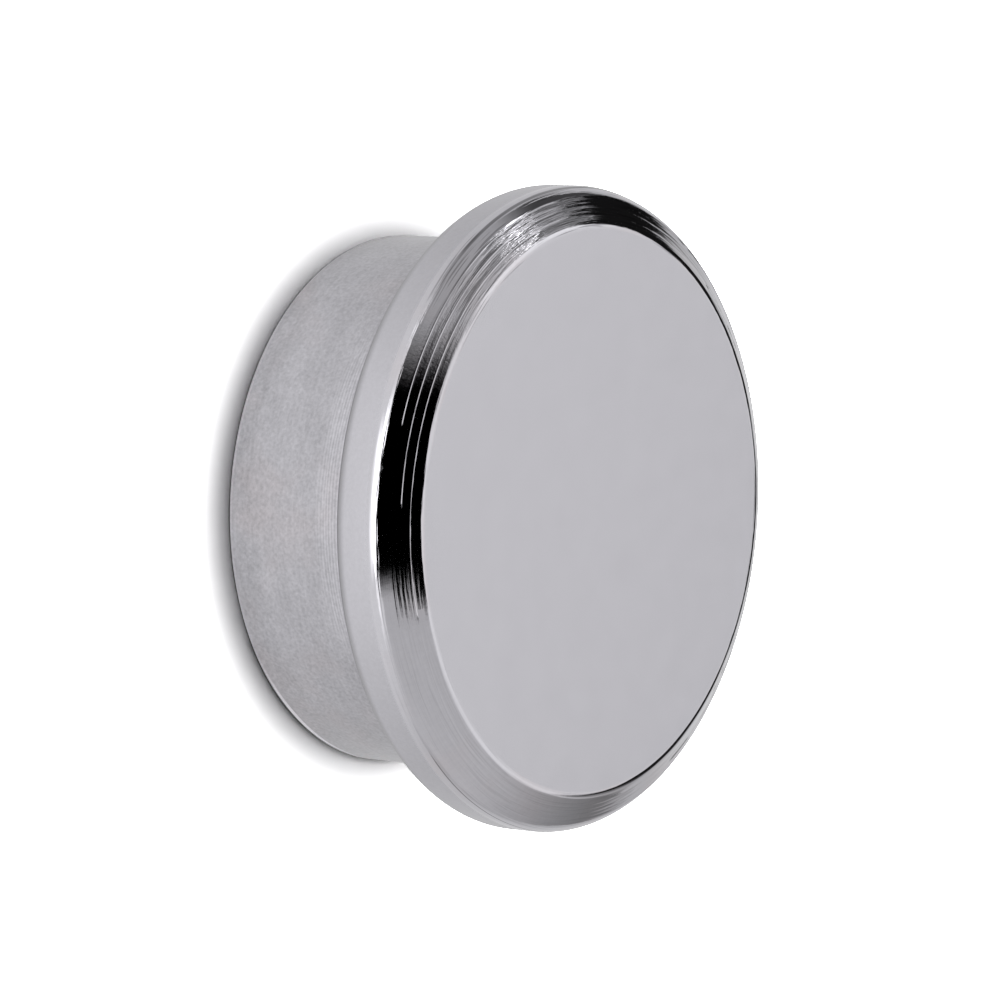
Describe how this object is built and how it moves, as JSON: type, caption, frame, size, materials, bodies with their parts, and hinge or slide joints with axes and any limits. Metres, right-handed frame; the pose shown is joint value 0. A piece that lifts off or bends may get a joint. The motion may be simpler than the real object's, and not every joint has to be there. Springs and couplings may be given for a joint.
{
  "type": "disc magnet",
  "caption": "Round holding magnet with a stepped steel housing: a narrow neck that sits on the board, a wider bevelled head to grip, and a magnet disc set into its back.",
  "frame": {"origin": "centre of the flat back face, which lies against the board", "axes": "+Z along the housing's axis, from the back face out through the front face; +X and +Y are any two directions across the back face, because the part is round"},
  "size_m": [0.02, 0.02, 0.0078],
  "materials": {
    "turned_steel": "satin",
    "nickel_plate": "satin"
  },
  "bodies": {
    "root": {"housing": "turned_steel", "magnet": "nickel_plate"}
  },
  "joints": []
}
